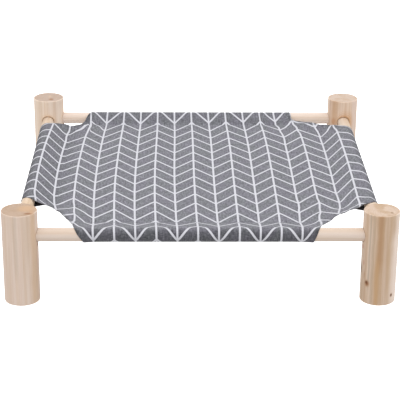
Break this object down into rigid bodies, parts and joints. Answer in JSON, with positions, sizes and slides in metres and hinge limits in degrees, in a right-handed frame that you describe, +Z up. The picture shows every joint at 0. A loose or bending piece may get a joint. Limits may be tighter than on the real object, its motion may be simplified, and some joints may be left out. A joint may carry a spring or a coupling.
{
  "type": "elevated pet bed",
  "caption": "Raised square pet bed: short round pine legs, pine dowel rails and a printed canvas lying surface slung from them by sewn sleeves.",
  "frame": {"origin": "on the floor, in the middle between the four legs", "axes": "+Z up; -Y is the front, towards the viewer of the picture; +X is the right-hand side seen from the front"},
  "size_m": [0.55, 0.55, 0.135],
  "materials": {
    "pine_leg": "sanded, unvarnished pine with fine vertical grain and a few small knots",
    "pine_rail": "sanded, unvarnished pine dowel, paler than the legs",
    "printed_canvas": "matt heathered grey canvas, printed with a pale chevron line pattern",
    "sewing_thread": "matt grey sewing thread"
  },
  "bodies": {
    "root": {"leg_front_left": "pine_leg", "leg_front_right": "pine_leg", "leg_back_left": "pine_leg", "leg_back_right": "pine_leg", "rail_front": "pine_rail", "rail_back": "pine_rail", "rail_left": "pine_rail", "rail_right": "pine_rail", "canvas_panel": "printed_canvas", "sleeve_front": "printed_canvas", "sleeve_back": "printed_canvas", "sleeve_left": "printed_canvas", "sleeve_right": "printed_canvas", "seam_thread_front": "sewing_thread", "seam_thread_back": "sewing_thread", "seam_thread_left": "sewing_thread", "seam_thread_right": "sewing_thread"}
  },
  "joints": []
}
